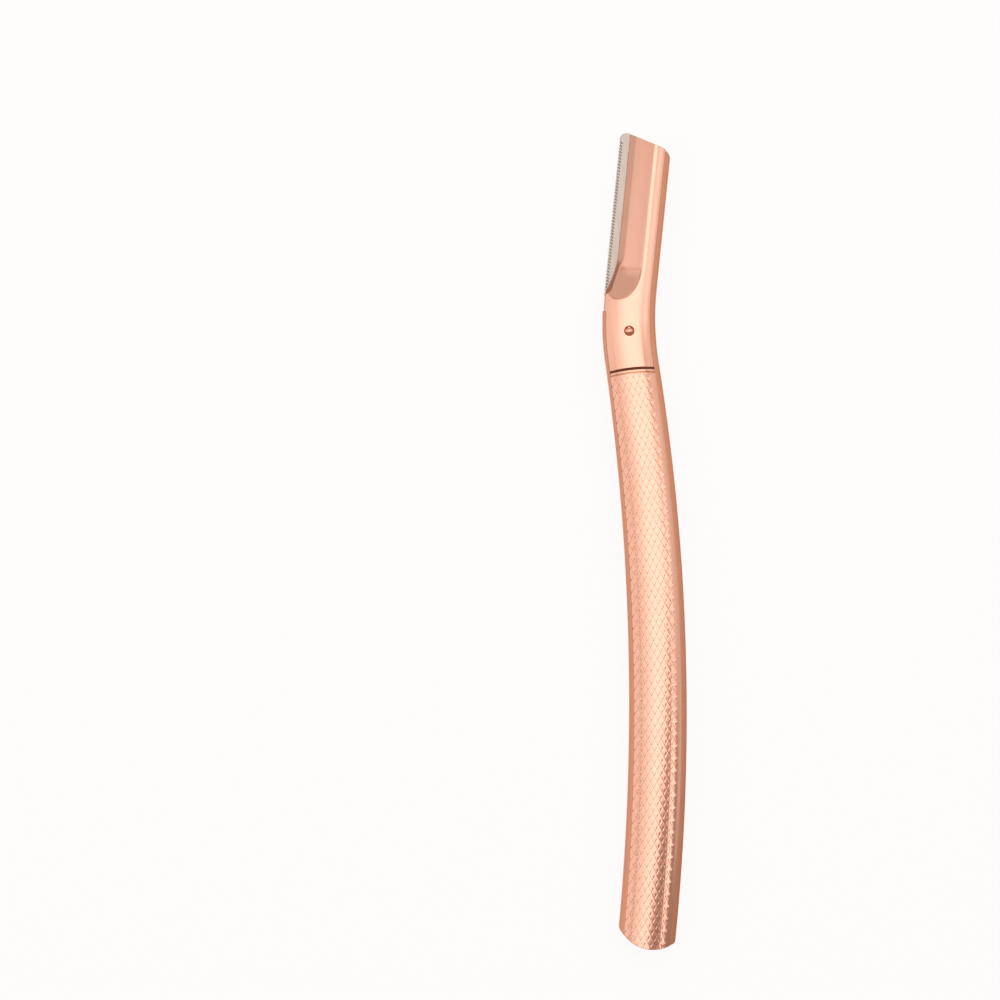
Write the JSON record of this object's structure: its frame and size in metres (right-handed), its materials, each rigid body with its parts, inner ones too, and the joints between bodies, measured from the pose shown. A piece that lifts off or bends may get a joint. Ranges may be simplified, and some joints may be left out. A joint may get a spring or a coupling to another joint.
{
  "type": "eyebrow razor",
  "caption": "Slim rose-gold eyebrow razor with a bent head, a fixed blade behind a toothed guard, a scooped head cover and a bowed knurled grip.",
  "frame": {"origin": "Bottom centre of the box round the whole razor as it lies on its back.", "axes": "+Y runs along the handle towards the head, +X from the blade side to the spine, +Z out of the front face."},
  "size_m": [0.0156, 0.15, 0.0059],
  "materials": {
    "rose_gold_plate": "bright rose-gold electroplate on moulded plastic",
    "blade_steel": "ground stainless strip",
    "guard_steel": "thin satin stainless foil",
    "pin_metal": "polished, plated to match the handle"
  },
  "bodies": {
    "root": {"centre_frame": "rose_gold_plate", "front_head_cover": "rose_gold_plate", "back_head_cover": "rose_gold_plate", "front_grip_scale": "rose_gold_plate", "back_grip_scale": "rose_gold_plate", "razor_blade": "blade_steel", "blade_guard": "guard_steel", "neck_pin": "pin_metal"}
  },
  "joints": []
}
